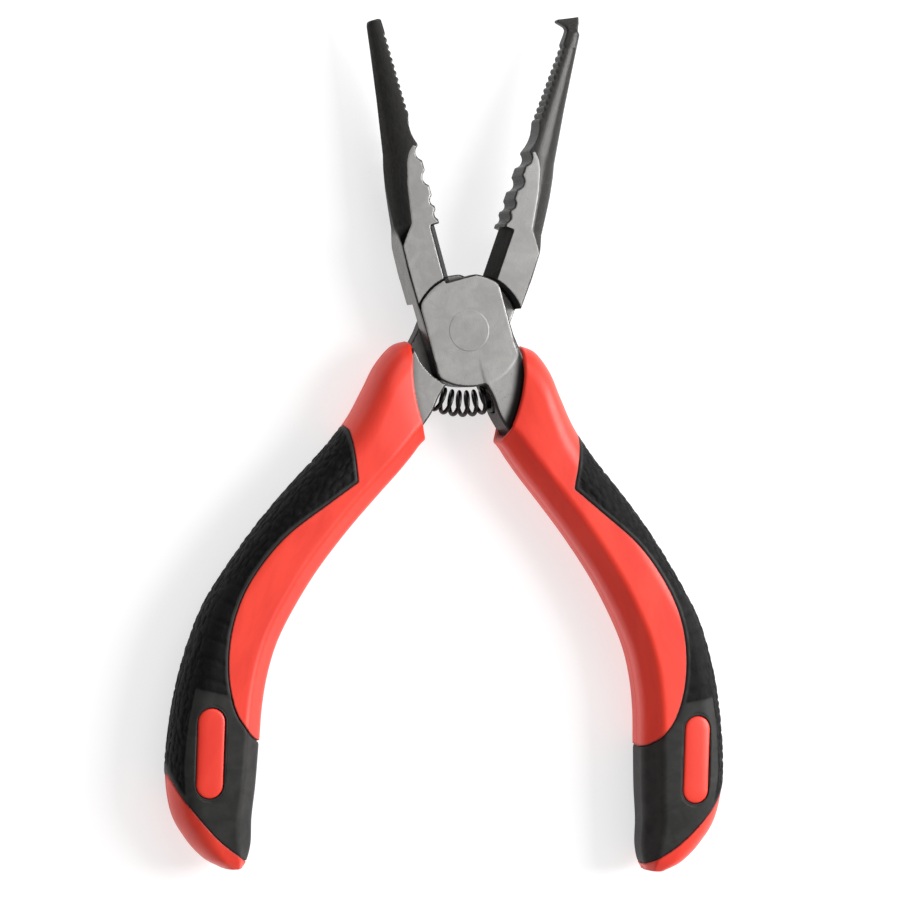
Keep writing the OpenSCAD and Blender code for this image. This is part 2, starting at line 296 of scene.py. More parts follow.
def face_cuts(x, y):
    """The crimping notches, the oval notch and the teeth, as a field that is negative in the cuts."""
    cuts = np.full(np.broadcast(x, y).shape, 1e9)
    for along, radius, out in NOTCHES:
        cuts = np.minimum(cuts, np.hypot(x - out, y - along) - radius)
    middle, length, depth = OVAL_NOTCH
    bow = ((length / 2) ** 2 + depth**2) / (2 * depth)
    cuts = np.minimum(cuts, np.hypot(x - bow + depth, y - middle) - bow)
    first, pitch, deep = GRIP_TEETH
    last = first + pitch * math.floor((NOSE_LEN - 2.6 - first) / pitch)
    nearest = np.clip(np.round((y - first) / pitch) * pitch + first, first, last)
    return np.minimum(cuts, (np.abs(y - nearest) + np.abs(x + FACE_GAP / 2) - deep) * 0.7)


def tang_outline():
    return np.vstack([catmull(TANG_OUTER, 3), catmull(TANG_INNER, 3), [[0.4, 0]]])


def half_field(x, y, z, tooth):
    """The whole forging as a distance field, negative in the steel."""
    tang = outline_distance(tang_outline(), x, y)
    visible = round_max(tang, np.hypot(x - MOUTH_C[0], y - MOUTH_C[1]) - MOUTH_R - 1.2, 0.1)
    visible = round_max(visible, np.abs(z) - HALF_HEAD, 0.35)
    field = np.minimum(visible, round_max(tang, np.abs(z) - TANG_HALF, 0.5))
    field = round_min(field, nose_field(x, y, z, tooth), 0.3)
    plate = round_max(np.hypot(x, y) - PLATE_R, np.abs(x) - PLATE_SIDE, 0.6)
    plate = round_max(plate, z - HALF_HEAD - PLATE_STEP * smooth_step(y, -9, -2), 0.3)
    field = round_min(field, np.maximum(plate, -z - HALF_HEAD), 0.2)
    recess = np.maximum(np.hypot(x, y) - PLATE_R - SHOULDER_GAP, z - LAP_GAP / 2)
    field = round_max(field, -recess, 0.12)
    field = np.maximum(field, -np.maximum(np.hypot(x, y) - RIVET_R - 0.15, -z - 9))
    low, high, wide = CUTTER
    slope = wide / (HALF_HEAD + 0.1)
    bevel = (x + FACE_GAP / 2 + np.abs(z) * slope) / math.hypot(1, slope)
    removed = np.maximum(-bevel, np.abs(y - (low + high) / 2) - (high - low) / 2)
    field = round_max(field, -removed, 0.1)
    field = round_max(field, -face_cuts(x, y), 0.15)
    c, s = math.cos(SEAT_A), math.sin(SEAT_A)
    along = -(x - SPRING_ARC_R * c) * s + (y - SPRING_ARC_R * s) * c
    across = (x - SPRING_ARC_R * c) * c + (y - SPRING_ARC_R * s) * s
    floor = SEAT_DEPTH - (SEAT_A - FACE_A) * SPRING_ARC_R
    seat = np.maximum(np.hypot(across, z) - SPRING_D / 2 - 0.3, np.abs(along + 2) - 2 - floor)
    return np.maximum(field, -seat)


def sampled_half(tooth, y_from, y_to, step):
    low = np.array([-9.6, y_from, -5.0])
    high = np.array([25.6, y_to, 5.0])
    axes = [np.arange(a, b, step) for a, b in zip(low, high)]
    x, y, z = axes[0][:, None, None], axes[1][None, :, None], axes[2][None, None, :]
    return surface_nets(half_field(x, y, z, tooth), low, step)


def steel_half(name, tooth, side, body, material):
    """A forging, with what its materials need at each point: ground flats, grey outer side, and a painted
    shadow on the steel by the grip's mouth.
    """
    seen, seen_quads = sampled_half(tooth, HIDDEN_BELOW - 1, NOSE_LEN + 4, FINE_STEP)
    hidden, hidden_quads = sampled_half(tooth, TANG_END, HIDDEN_BELOW, COARSE_STEP)
    hidden_quads = hidden_quads[hidden[hidden_quads][:, :, 1].max(1) < HIDDEN_BELOW + 0.8]
    seen_quads = seen_quads[seen[seen_quads][:, :, 1].min(1) > HIDDEN_BELOW - 0.2]
    points = np.vstack([seen, hidden])
    quads = np.vstack([seen_quads, hidden_quads + len(seen)])
    used, quads = np.unique(quads, return_inverse=True)
    points, quads = points[used], quads.reshape(-1, 4)
    normals = point_normals(points, quads)
    x, y, z = points.T
    chord = rows_at(TURN_RADIUS, y) ** 2 - (rows_at(THICKNESS, y) + turn_axis(y)) ** 2
    on_flat = np.where(y > 9, np.sqrt(np.maximum(chord, 0)) - np.abs(x - NOSE_AXIS) - 0.1, 2.0)
    ground = np.minimum(on_flat, (np.abs(normals[:, 2]) - 0.97) * 8)
    in_recess = np.maximum(np.hypot(x, y) - PLATE_R - SHOULDER_GAP, z - LAP_GAP)
    ground = np.minimum(ground, in_recess + 0.15)
    outer = (-normals[:, 0] - 0.75) * 3 * smooth_step(y, 22, 12) * smooth_step(y, -2, 2) * (side > 0)
    # painted shadow: steel within 2.2 mm of the grip's mouth is darkened, fully on the front half and about
    # half as much on the rear half
    from_mouth = MOUTH_R - np.hypot(x - MOUTH_C[0], y - MOUTH_C[1])
    painted_mouth_shadow = np.where(y < 0, np.clip(1 - from_mouth / 2.2, 0, 1), 0) * (1.0 if side > 0 else 0.45)
    ob = make_mesh(name, in_place(points, side), quads, material)
    store(ob, "ground", np.clip(ground, -1, 1))
    store(ob, "outer", np.clip(outer, -1, 1))
    store(ob, "painted_mouth_shadow", painted_mouth_shadow)
    store(ob, "steep", 1 - smooth_step(np.abs(normals[:, 2]), 0.78, 0.95))
    store(ob, "wear", np.clip(edge_sharpness(points, quads, normals) * 6, 0, 1))
    store(ob, "local", points + [0, 0, 40 * side])
    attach(ob, body)
    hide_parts(name)


# ---- rivet and spring ----

def lathe(profile, around):
    """A closed turned solid from (radius, height) points that start and end on the axis."""
    ring = np.linspace(0, 2 * math.pi, around, endpoint=False)
    inner = np.array(profile[1:-1], float)
    points = [[0, 0, profile[0][1]]]
    points += [[r * math.cos(a), r * math.sin(a), h] for r, h in inner for a in ring]
    points.append([0, 0, profile[-1][1]])
    faces = []
    for k in range(around):
        m = (k + 1) % around
        faces.append((0, 1 + m, 1 + k))
        for i in range(len(inner) - 1):
            a, b = 1 + i * around, 1 + (i + 1) * around
            faces.append((a + k, a + m, b + m, b + k))
        top = 1 + (len(inner) - 1) * around
        faces.append((top + k, top + m, len(points) - 1))
    return np.array(points), faces


def pivot_rivet(material):
    top = HALF_HEAD + PLATE_STEP + 0.012
    half = [(RIVET_R, top - 1.1), (RIVET_R, top - 1), (RIVET_HEAD_R, top - 0.04),
            (RIVET_HEAD_R - 0.02, top - 0.01), (RIVET_HEAD_R - 0.06, top), (RIVET_HEAD_R - 0.2, top),
            (1.2, top)]
    profile = [(0, -top)] + [(r, -h) for r, h in reversed(half)] + half + [(0, top)]
    points, faces = lathe(profile, 96)
    ob = make_mesh("pivot_rivet", in_place(points, 1), faces, material)
    for key, value in (("ground", 1), ("outer", -1), ("wear", 0), ("painted_mouth_shadow", 0), ("steep", 0)):
        store(ob, key, np.full(len(points), value))
    store(ob, "local", points + [0, 0, 40])
    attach(ob, "front_half")
    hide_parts("pivot_rivet")


def return_spring(material):
    seated = (SEAT_DEPTH - SEAT_ROOM) / SPRING_ARC_R
    reach = math.pi / 2 + FACE_A + HALF_OPEN + seated
    steps, around = 26, 16
    n = round(SPRING_TURNS * steps)
    i, k = np.meshgrid(np.arange(n + 1), np.arange(around), indexing="ij")
    turn, ring = i * 2 * math.pi / steps, k * 2 * math.pi / around
    arc = -math.pi / 2 - reach + 2 * reach * i / n
    coil = (SPRING_D - WIRE_D) / 2
    radial = coil + WIRE_D / 2 * np.cos(ring)
    distance = SPRING_ARC_R + radial * np.cos(turn)
    slide = arc + WIRE_D / 2 * np.sin(ring) / SPRING_ARC_R
    points = np.stack([distance * np.cos(slide), distance * np.sin(slide), radial * np.sin(turn)], -1)
    points = points.reshape(-1, 3)
    i, k = np.meshgrid(np.arange(n), np.arange(around), indexing="ij")
    a, b = (i * around + k).ravel(), (i * around + (k + 1) % around).ravel()
    faces = np.stack([a, b, b + around, a + around], 1).tolist()
    faces.append(list(range(around))[::-1])
    faces.append([n * around + k for k in range(around)])
    ob = make_mesh("return_spring", (points + PIVOT) * MM, faces, material)
    store(ob, "local", points)
    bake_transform(ob)
    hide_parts("return_spring")


# ---- grips ----

# (outer x, outer y, inner x, inner y, half thickness) from the mouth to the butt
FULL = HALF_GRIP
STATIONS = [[9.8, -5.6, -2.2, -18.6, 5.2], [12, -7.4, -0.2, -20.3, 5.7], [13.6, -11.5, 1.2, -22.5, 6.2],
            [14.3, -16.5, 2.1, -25.1, 6.5], [15.3, -22.5, 3.6, -29, FULL], [17.5, -29, 6, -34.6, FULL],
            [21.2, -37.4, 9, -42, FULL], [24.6, -46, 11.9, -50.6, FULL], [27.2, -54.5, 13.7, -58.4, FULL],
            [29.1, -62.5, 14.6, -65, FULL], [29.6, -70.5, 14.4, -71, FULL], [29, -78.8, 13.4, -77, FULL],
            [27.7, -86.6, 11.7, -83.4, FULL], [25.7, -94, 9.8, -90.6, FULL], [22.4, -100.4, 8.4, -96.6, 6.3],
            [18.2, -104.2, 7, -100.9, 5.7], [14, -106.4, 6.6, -103.9, 4.9], [10.4, -107, 6.9, -105.7, 3.8]]
PANEL_EDGE = np.vstack([[[17.5, -21.8], [15.4, -24.2]], catmull(
    [[11, -33.2], [14.8, -38.6], [20, -46.2], [22.9, -53.2], [24.3, -60], [24, -66.9],
     [22, -73.8], [18.8, -79.2], [15.5, -81.9], [12, -83.2], [4, -83.8]], 8)])
CAP_EDGE = catmull([[31, -89], [27.2, -92.4], [24.2, -95.6], [21.2, -98.1], [17.6, -100.3],
                    [14.2, -102.1], [10.6, -103.5], [4, -105.2]], 8)
SKIN_ZONE = np.vstack([PANEL_EDGE, [[4, -100]], CAP_EDGE[::-1], [[60, -89], [60, -21.8]]])
CAP_ZONE = np.vstack([CAP_EDGE, [[4, -130], [60, -130], [60, -89]]])
PANEL_ZONE = np.vstack([PANEL_EDGE, [[-60, -83.8], [-60, 20], [17.5, 20]]])
INLAY_C = np.array([20.4, -88.1])
INLAY_W = 5.0
INLAY_LEN = 16.3
SPAN_ROWS = 18
PROFILE_LENGTH = 27.0
SEAM = 0.05 / PROFILE_LENGTH
# how deep the cut edges of a piece turn down
CUT_DEPTH = 1.2


def straight_points(a, b, count):
    return a + (b - a) * np.linspace(0, 1, count, endpoint=False)[:, None, None]


def bend_points(a, corner, b, count):
    """A short curve that rounds the corner between a and b."""
    t = np.linspace(0, 1, count, endpoint=False)[:, None, None]
    return (1 - t) ** 2 * a + 2 * t * (1 - t) * corner + t**2 * b


def half_profile(wide, thick):
    """Rows of (distance in from the inner edge, height): up the inner wall, over the facet, the flat and
    round the outer side, for arrays of section widths and half thicknesses."""
    k, q = np.minimum(1, wide / 12.5), thick / HALF_GRIP
    zero = np.zeros_like(wide)
    crease = np.stack([3.2 * k, thick], -1)
    wall = np.stack([zero, thick - 3.44 * q], -1)
    foot = np.stack([zero, zero], -1)
    along = crease - wall
    along /= np.linalg.norm(along, axis=-1, keepdims=True)
    wall_end = wall - [0, 1.2] * q[:, None]
    facet_start = wall + along * (1.2 * q)[:, None]
    facet_end = crease - along * (0.75 * k)[:, None]
    flat_start = crease + [1, 0] * (0.75 * k)[:, None]
    flat_end = np.stack([wide - 5.4 * k, thick], -1)
    angle = np.linspace(0, math.pi / 2, 60)[:, None]
    outer = np.stack([wide - 5.4 * k * (1 - np.sin(angle) ** 0.93), thick * np.cos(angle) ** 0.93], -1)
    parts = [straight_points(foot, wall_end, 12), bend_points(wall_end, wall, facet_start, 12),
             straight_points(facet_start, facet_end, 16), bend_points(facet_end, crease, flat_start, 12),
             straight_points(flat_start, flat_end, 30), outer]
    rows = np.concatenate(parts, 0).transpose(1, 0, 2)
    # the top is very slightly crowned
    inner, height = rows[..., 0], rows[..., 1]
    middle = 0.5 * wide[:, None]
    rows[..., 1] = height - 0.1 * ((inner - middle) / middle) ** 2 * (height / HALF_GRIP)
    return rows


def grip_surface():
    """Dense rows and columns of the upper half of the grip's skin, with its normals."""
    rows = catmull(STATIONS, SPAN_ROWS)
    rows[:, 4] = np.minimum(rows[:, 4], HALF_GRIP)
    outer, inner, thick = rows[:, :2], rows[:, 2:4], rows[:, 4]
    # the butt closes round over the last rows
    angle = np.linspace(0, math.pi / 2, 9)[1:]
    ahead = (rows[-1, :4] - rows[-4, :4]).reshape(2, 2).mean(0)
    ahead /= np.linalg.norm(ahead)
    middle = (outer[-1] + inner[-1]) / 2
    for a in angle:
        shrink = max(math.cos(a), 0.02)
        centre = middle + ahead * 0.5 * math.sin(a)
        outer = np.vstack([outer, centre + (rows[-1, :2] - middle) * shrink])
        inner = np.vstack([inner, centre + (rows[-1, 2:4] - middle) * shrink])
        thick = np.append(thick, rows[-1, 4] * (0.35 + 0.65 * shrink))
    wide = np.linalg.norm(outer - inner, axis=1)
    across = (outer - inner) / wide[:, None]
    profile = half_profile(wide, thick)
    flat = inner[:, None, :] + across[:, None, :] * profile[..., :1]
    points = np.concatenate([flat, profile[..., 1:]], -1)
    down = np.gradient(points, axis=0)
    over = np.gradient(points, axis=1)
    normals = np.cross(over, down)
    normals /= np.maximum(np.linalg.norm(normals, axis=-1, keepdims=True), 1e-9)
    if normals[len(normals) // 2, 60, 2] < 0:
        normals = -normals
    normals[:, 0, 2] = 0
    normals[:, -1, 2] = 0
    normals /= np.maximum(np.linalg.norm(normals, axis=-1, keepdims=True), 1e-9)
    return points, normals


def first_crossing(values):
    """For each row, the column, as a share, at which values first turn negative; 1 where they never do."""
    count = values.shape[1]
    negative = values < 0
    where = np.argmax(negative, 1)
    never = ~negative.any(1)
    before = np.maximum(where - 1, 0)
    r = np.arange(len(values))
    a, b = values[r, before], values[r, where]
    part = np.where(where > 0, a / np.where(a == b, 1, a - b), 0)
    return np.where(never, 1.0, np.where(where > 0, (before + part) / (count - 1), 0.0))


def at(surface, row, column):
    """The surface's value at fractional rows and column shares."""
    rows, columns = surface.shape[:2]
    r = np.clip(row, 0, rows - 1)
    c = np.clip(column, 0, 1) * (columns - 1)
    r0, c0 = np.minimum(r.astype(int), rows - 2), np.minimum(c.astype(int), columns - 2)
    fr, fc = (r - r0)[..., None], (c - c0)[..., None]
    top = surface[r0, c0] * (1 - fc) + surface[r0, c0 + 1] * fc
    low = surface[r0 + 1, c0] * (1 - fc) + surface[r0 + 1, c0 + 1] * fc
    return top * (1 - fr) + low * fr


def hashed(cell, salt):
    """A repeatable number from 0 to 1 for each whole-number cell."""
    value = np.sin(cell @ np.array([127.1, 311.7, 74.7]) + salt * 53.3) * 43758.5453
    return value - np.floor(value)


def pebbles(points, size):
    """Distances to the nearest and the second nearest of one scattered point a cell, in cells."""
    p = points / size
    base = np.floor(p)
    nearest = np.full(len(p), 9.0)
    second = np.full(len(p), 9.0)
    for offset in itertools.product((-1, 0, 1), repeat=3):
        cell = base + offset
        seed = cell + 0.15 + 0.7 * np.stack([hashed(cell, s) for s in (1, 2, 3)], -1)
        d = np.linalg.norm(seed - p, axis=1)
        second = np.minimum(second, np.maximum(nearest, d))
        nearest = np.minimum(nearest, d)
    return nearest, second


def edge_roll(inside, radius):
    """How far a rounded edge has dropped at a distance inside it."""
    d = np.clip(inside, 0, radius)
    return np.sqrt(radius**2 - (radius - d) ** 2) - radius


def sheet(rows, start, end, columns):
    """Grids of rows and column shares: even columns held between the cuts, with close ones by each cut."""
    start, end = start[:, None], end[:, None]
    close = np.minimum(np.array([0.0, 0.03, 0.07, 0.13, 0.2, 0.3, 0.42]) / PROFILE_LENGTH, (end - start) / 2)
    first, last = start + close, end - close[:, ::-1]
    middle = np.clip(np.linspace(0, 1, columns)[None, :], first[:, -1:], last[:, :1])
    share = np.concatenate([first, middle, last], 1)
    return rows[:, None] * np.ones_like(share), share


class Grip:
    """The grip's skin, cut into the hard panel, the soft skin and the end cap."""

    def __init__(self):
        self.points, self.normals = grip_surface()
        flat = self.points[..., :2]
        self.rows = len(self.points)
        self.panel = first_crossing(outline_distance(SKIN_ZONE, flat[..., 0], flat[..., 1]))
        self.cap = first_crossing(outline_distance(CAP_ZONE, flat[..., 0], flat[..., 1]))
        self.panel = np.minimum(self.panel, self.cap)
        first_full = np.argmax((self.panel == 0) & (np.arange(self.rows) > self.rows // 2))
        self.panel[first_full:] = 0
        self.away = np.linalg.norm(flat - MOUTH_C, axis=-1)

    def mouth_row(self, share, distance):
        """The row at which the skin is that far from the mouth's centre, for each column share."""
        columns = self.points.shape[1]
        rows = np.array([np.interp(distance, np.maximum.accumulate(self.away[:90, c]), np.arange(90))
                         for c in range(columns)])
        return np.interp(share, np.linspace(0, 1, columns), rows)

    def place(self, row, share, offset):
        return at(self.points, row, share) + at(self.normals, row, share) * offset[..., None]


def mirrored(points):
    """Upper grid and its mirror image below, as one list of points and quads."""
    rows, columns = points.shape[:2]
    upper = points.reshape(-1, 3)
    lower = upper * [1, 1, -1]
    faces = grid_faces(rows, columns)
    return np.vstack([upper, lower]), np.vstack([faces, faces[:, ::-1] + len(upper)])


def weld(points, faces, values):
    """Joins coinciding points and drops what collapses."""
    key = np.round(points / 2e-4).astype(np.int64)
    _, first, back = np.unique(key, axis=0, return_index=True, return_inverse=True)
    back = back.ravel()
    kept = []
    for f in back[faces]:
        ring = [a for a, b in zip(f, np.roll(f, 1)) if a != b]
        if len(ring) > 2 and len(set(ring)) == len(ring):
            kept.append(ring)
    return points[first], kept, [v[first] for v in values]


def build_piece(name, grid, attributes, side, body, material, extra=None):
    """A grip piece from its upper grid, mirrored and welded, with optional extra points and faces."""
    points, faces = mirrored(grid)
    doubled = {k: np.concatenate([v.ravel(), v.ravel()]) for k, v in attributes.items()}
    names = list(doubled)
    points, faces, values = weld(points, faces, [doubled[k] for k in names])
    doubled = dict(zip(names, values))
    if extra:
        more_points, more_faces, more = extra
        faces = faces + [[i + len(points) for i in f] for f in more_faces]
        points = np.vstack([points, more_points])
        none = np.zeros(len(more_points))
        doubled = {k: np.concatenate([v, more.get(k, none)]) for k, v in doubled.items()}
    ob = make_mesh(name, in_place(points, side), faces, material)
    for k, v in doubled.items():
        store(ob, k, v)
    store(ob, "local", points + [0, 0, 60 * (side > 0)])
    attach(ob, body)
    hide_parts(name)


def grip_core(grip, prefix, side, body, material):
    last = np.argmax(grip.panel == 0)
    common = 3.4 * SPAN_ROWS
    rows = np.concatenate([np.linspace(0, common, 62), np.arange(math.ceil(common), last + 1)])
    start = np.zeros(len(rows))
    end = np.interp(rows, np.arange(grip.rows), grip.panel)
    whole = end > 0.999
    end = np.where(whole, 1, np.maximum(end - SEAM, 0))
    row, share = sheet(rows, start, end, 90)
    lip = 0.7
    begin = grip.mouth_row(share, MOUTH_R + lip)
    blend = np.clip(row / common, 0, 1)
    row = np.where(row < common, begin * (1 - blend) + common * blend, row)
    flat = at(grip.points, row, share)[..., :2]
    panel = outline_distance(SKIN_ZONE, flat[..., 0], flat[..., 1])
    offset = np.where(whole[:, None], 0, edge_roll(panel, 0.22))
    # a fine parting line round the inner wall
    height = at(grip.points, row, share)[..., 2]
    offset = offset + 0.05 * np.exp(-((height / 0.13) ** 2))
    grid = grip.place(row, share, offset)
    # the cut edge turns down to the core below the skin
    down = grip.place(row[:, -1:], share[:, -1:], np.where(whole[:, None], 0.05, -CUT_DEPTH))
    grid = np.concatenate([grid, down], 1)
    share = np.concatenate([share, share[:, -1:]], 1)
    row = np.concatenate([row, row[:, -1:]], 1)
    # lip round the mouth, then a funnel down to the tang
    base, normal = at(grip.points, row[0], share[0]), at(grip.normals, row[0], share[0])
    toward = np.zeros_like(base)
    toward[:, :2] = MOUTH_C - base[:, :2]
    toward /= np.linalg.norm(toward, axis=1, keepdims=True)
    centre = base - lip * normal
    loops = [centre + lip * (math.cos(a) * normal + math.sin(a) * toward)
             for a in np.linspace(0, math.pi / 2, 7)[1:]]
    rim = loops[-1]
    angle = np.arctan2(rim[:, 1] - MOUTH_C[1], rim[:, 0] - MOUTH_C[0])
    sweep = np.linspace(-1.2, 0.3, 600)
    steel = sweep[outline_distance(tang_outline(), MOUTH_C[0] + MOUTH_R * np.cos(sweep),
                                   MOUTH_C[1] + MOUTH_R * np.sin(sweep)) < 0]
    for inward, deeper in ((0.35, 0.35), (0.75, 1.1), (1.0, 1.9)):
        hold = np.clip(angle, steel.min() + 0.004, steel.max() - 0.004)
        turn = angle + (hold - angle) * inward
        far = np.hypot(*(rim[:, :2] - MOUTH_C).T) + deeper
        tall = rim[:, 2] + (np.minimum(rim[:, 2], HALF_HEAD - 0.15) - rim[:, 2]) * inward
        loops.append(np.stack([MOUTH_C[0] + far * np.cos(turn), MOUTH_C[1] + far * np.sin(turn), tall], 1))
    grid = np.concatenate([np.array(loops[::-1]), grid], 0)
    # painted shadow: the funnel and lip rows at the mouth's recess are darkened; the panel's cut edge and
    # the band along it are darkened as dirt in the seam
    recess_shade_and_grime = np.zeros(grid.shape[:2])
    recess_shade_and_grime[:3] = np.array([1.0, 0.9, 0.6])[:, None]
    recess_shade_and_grime[3:9] = np.linspace(0.4, 0.0, 6)[:, None]
    seam = np.zeros(grid.shape[:2])
    seam[len(loops):, :-1] = np.where(whole[:, None], 0, np.clip(1 - panel / 0.5, 0, 1))
    seam[:, -1] = 1
    recess_shade_and_grime = np.maximum(recess_shade_and_grime, seam)
    build_piece(prefix + "_core", grid, {"recess_shade_and_grime": recess_shade_and_grime}, side, body, material)


def texture_height(points, row, panel_in, cap_in):
    """The moulded relief of the soft skin: pebbles on the outer side, ribs on the inner half, and a plain
    pad round the inlay. Returns the height, how deep in the pebbles' hollows each point is (for a painted
    shadow there), and where it is plain."""
    station = row / SPAN_ROWS
    outer_gap = outer_distance(points)
    pad = np.minimum(smooth_step(station, 10.86, 10.98), smooth_step(outer_gap, 2.0, 2.6))
    near, second = (d.reshape(row.shape) for d in pebbles(points.reshape(-1, 3), 1.55))
    valley = smooth_step(second - near, 0.0, 0.28)
    dome = valley * (1.0 - 0.45 * near)
    # ribs across the upper face between the thin part and the pad
    rib_phase = (station - 8.35) / 0.46
    rib = np.abs(np.sin(math.pi * rib_phase))
    rib = smooth_step(rib, 0.0, 0.55)
    ribbed = (smooth_step(station, 8.1, 8.4) * (1 - smooth_step(panel_in, 3.6, 5.0))
              * smooth_step(points[..., 2], 3.5, 5.0) * (1 - pad))
    relief = dome * (1 - ribbed) + (0.8 * rib + 0.2 * dome) * ribbed
    border = smooth_step(panel_in, 0.35, 1.0) * smooth_step(cap_in, 0.3, 0.9) * (1 - pad)
    height = (0.24 * (relief - 1)) * border - 0.2 * pad
    # painted shadow: how deep each point lies in the pebbles' hollows, used to darken them
    crevice_shade = (1 - np.clip(relief, 0, 1)) * border
    return height, crevice_shade, np.maximum(pad, 1 - border)


def outer_distance(points):
    """How far each point is in from the grip's outer edge, seen from above."""
    edge = catmull(STATIONS, SPAN_ROWS)[:, :2]
    closed = np.vstack([edge, [[-60, -106.9], [-60, -5.6]]])
    return -outline_distance(closed, points[..., 0], points[..., 1])


def inlay_outline(grow):
    """The oval's outline, grown by that much, upright in the rest pose."""
    radius = INLAY_W / 2 + grow
    reach = (INLAY_LEN - INLAY_W) / 2
    a = np.linspace(0, math.pi, 14)
    top = np.stack([radius * np.cos(a), reach + radius * np.sin(a)], 1)
    whole = np.vstack([top, -top])
    c, s = math.cos(-HALF_OPEN), math.sin(-HALF_OPEN)
    return whole @ np.array([[c, s], [-s, c]]) + INLAY_C


def widened(values):
    """The first and last columns once more, for the points where the cut edges turn down."""
    return np.concatenate([values[:, :1], values, values[:, -1:]], 1)


def grip_overmould(grip, prefix, side, body, material):
    width = grip.cap - grip.panel
    some = np.nonzero(width > 1e-4)[0]
    rows = np.arange(some[0] - 1, some[-1] + 2)
    start, end = grip.panel[rows], grip.cap[rows]
    open_start, open_end = start < 1e-6, end > 1 - 1e-6
    start = np.where(open_start, 0, start + SEAM)
    end = np.where(open_end, 1, end - SEAM)
    start = np.minimum(start, 1)
    end = np.maximum(end, start)
    row, share = sheet(rows.astype(float), start, end, 130)
    points = at(grip.points, row, share)
    panel_in = np.abs(outline_distance(PANEL_ZONE, points[..., 0], points[..., 1]))
    cap_in = np.abs(outline_distance(CAP_ZONE, points[..., 0], points[..., 1]))
    height, crevice_shade, plain = texture_height(points, row, panel_in, cap_in)
    pocket = outline_distance(inlay_outline(0.2), points[..., 0], points[..., 1])
    height = np.where(points[..., 2] > 2, height - 0.9 * (1 - smooth_step(pocket, -0.25, 0.1)), height)
    proud = 0.12
    offset = proud * np.minimum(panel_in, 0.6) / 0.6 + edge_roll(panel_in, 0.35)
    offset = offset + edge_roll(cap_in, 0.3) + height
    grid = grip.place(row, share, offset)
    left = grip.place(row[:, :1], share[:, :1], np.where(open_start[:, None], offset[:, :1], -CUT_DEPTH))
    right = grip.place(row[:, -1:], share[:, -1:], np.where(open_end[:, None], offset[:, -1:], -CUT_DEPTH))
    grid = np.concatenate([left, grid, right], 1)
    build_piece(prefix + "_overmould", grid, {"crevice_shade": widened(crevice_shade), "plain": widened(plain)},
                side, body, material, extra=inlay_rims(grip))


def grip_cap(grip, prefix, side, body, material):
    some = np.nonzero(grip.cap < 1 - 1e-4)[0]
    rows = np.arange(some[0] - 1, grip.rows)
    start = grip.cap[rows]
    open_start = start < 1e-6
    start = np.minimum(np.where(open_start, 0, start + SEAM), 1)
    end = np.ones(len(rows))
    row, share = sheet(rows.astype(float), start, end, 80)
    points = at(grip.points, row, share)
    edge = np.abs(outline_distance(CAP_ZONE, points[..., 0], points[..., 1]))
    offset = edge_roll(edge, 0.25) + 0.05 * np.exp(-((points[..., 2] / 0.13) ** 2))
    grid = grip.place(row, share, offset)
    left = grip.place(row[:, :1], share[:, :1], np.where(open_start[:, None], offset[:, :1], -CUT_DEPTH))
    grid = np.concatenate([left, grid], 1)
    # the last row closes on the middle of the butt
    middle = grid[-1:].mean(1, keepdims=True) * [1, 1, 0]
    grid = np.concatenate([grid, np.broadcast_to(middle, (1, grid.shape[1], 3))], 0)
    recess_shade_and_grime = np.clip(1 - edge / 0.5, 0, 1)
    recess_shade_and_grime = np.concatenate([np.ones((len(recess_shade_and_grime), 1)), recess_shade_and_grime], 1)
    recess_shade_and_grime = np.concatenate([recess_shade_and_grime, np.zeros((1, recess_shade_and_grime.shape[1]))], 0)
    build_piece(prefix + "_end_cap", grid, {"recess_shade_and_grime": recess_shade_and_grime}, side, body, material)


def skin_height(grip, flat):
    """The height of the grip's upper skin over points of the drawing."""
    columns = grip.points[60:, 20:-6]
    tree = BVHTree.FromPolygons(columns.reshape(-1, 3).tolist(), grid_faces(*columns.shape[:2]).tolist())
    hits = [tree.ray_cast(Vector((p[0], p[1], 20)), Vector((0, 0, -1)))[0] for p in flat]
    return np.array([h[2] for h in hits])


def ring_stack(outlines, heights):
    """Rings of points one after the other, with the quads between them."""
    points = np.vstack([np.column_stack([o, h]) for o, h in zip(outlines, heights)])
    n = len(outlines[0])
    faces = [[r * n + k, r * n + (k + 1) % n, (r + 1) * n + (k + 1) % n, (r + 1) * n + k]
             for r in range(len(outlines) - 1) for k in range(n)]
    return points, faces


def both_faces(points, faces):
    mirror = points * [1, 1, -1]
    return np.vstack([points, mirror]), faces + [[i + len(points) for i in f[::-1]] for f in faces]


def inlay_rims(grip):
    """A raised bead of the soft skin round each oval pocket."""
    profile = [(0.62, -0.4), (0.58, -0.24), (0.5, -0.14), (0.4, -0.08), (0.3, -0.06), (0.2, -0.08),
               (0.12, -0.14), (0.08, -0.24), (0.07, -0.45), (0.07, -1.1)]
    outlines = [inlay_outline(g) for g, _ in profile]
    heights = [skin_height(grip, o) + h for o, (_, h) in zip(outlines, profile)]
    points, faces = both_faces(*ring_stack(outlines, heights))
    return points, faces, {"plain": np.ones(len(points)), "crevice_shade": np.zeros(len(points))}


